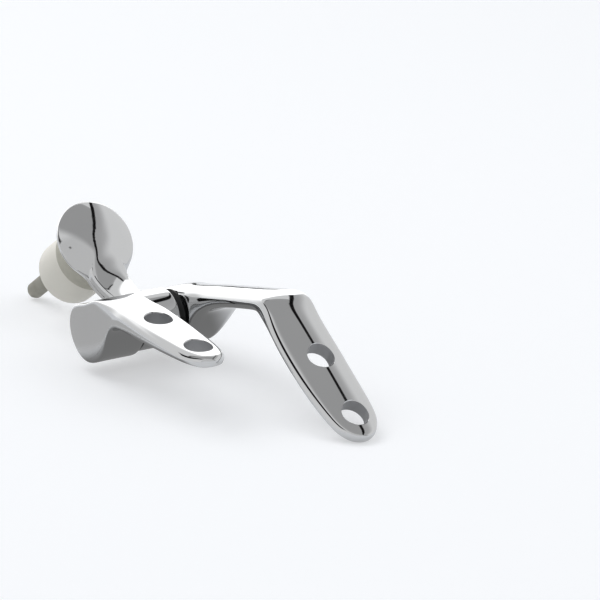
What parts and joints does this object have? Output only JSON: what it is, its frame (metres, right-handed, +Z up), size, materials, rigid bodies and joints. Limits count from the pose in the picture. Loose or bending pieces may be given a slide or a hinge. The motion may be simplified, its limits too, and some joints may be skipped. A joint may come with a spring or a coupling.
{
  "type": "toilet seat hinge",
  "caption": "Chromed toilet seat hinge: domed pillar with a mounting stud, and a straight seat flange and a dogleg lid flange that turn on one pin.",
  "frame": {"origin": "bottom centre of the bounding box, on the table that the hinge lies on", "axes": "+X along the pin from the seat flange to the lid flange, -Y the way the straps point, +Z up from the table"},
  "size_m": [0.0522, 0.1736, 0.0435],
  "materials": {
    "chrome": "polished chrome plate on cast metal",
    "stud_steel": "dull plated steel",
    "pin_steel": "ground steel",
    "spacer_plastic": "moulded, slightly translucent white",
    "washer_rubber": "moulded",
    "pivot_nylon": "moulded nylon"
  },
  "bodies": {
    "pillar": {"pillar": "chrome", "mounting_stud": "stud_steel", "sealing_washer": "washer_rubber", "spacer_bush": "spacer_plastic", "hinge_pin": "pin_steel"},
    "seat_flange": {"seat_flange": "chrome", "seat_pivot_bush": "pivot_nylon"},
    "lid_flange": {"lid_flange": "chrome", "lid_pivot_bush": "pivot_nylon"}
  },
  "joints": [
    {"name": "seat_hinge", "type": "hinge", "parent": "pillar", "child": "seat_flange", "pos_m": [-0.0255, 0.0111, 0.01461], "axis": [-1, 0, 0], "range_deg": [-47.8, 50.2]},
    {"name": "lid_hinge", "type": "hinge", "parent": "pillar", "child": "lid_flange", "pos_m": [-0.0255, 0.0111, 0.01461], "axis": [-1, 0, 0], "range_deg": [-18.5, 79.5]}
  ]
}
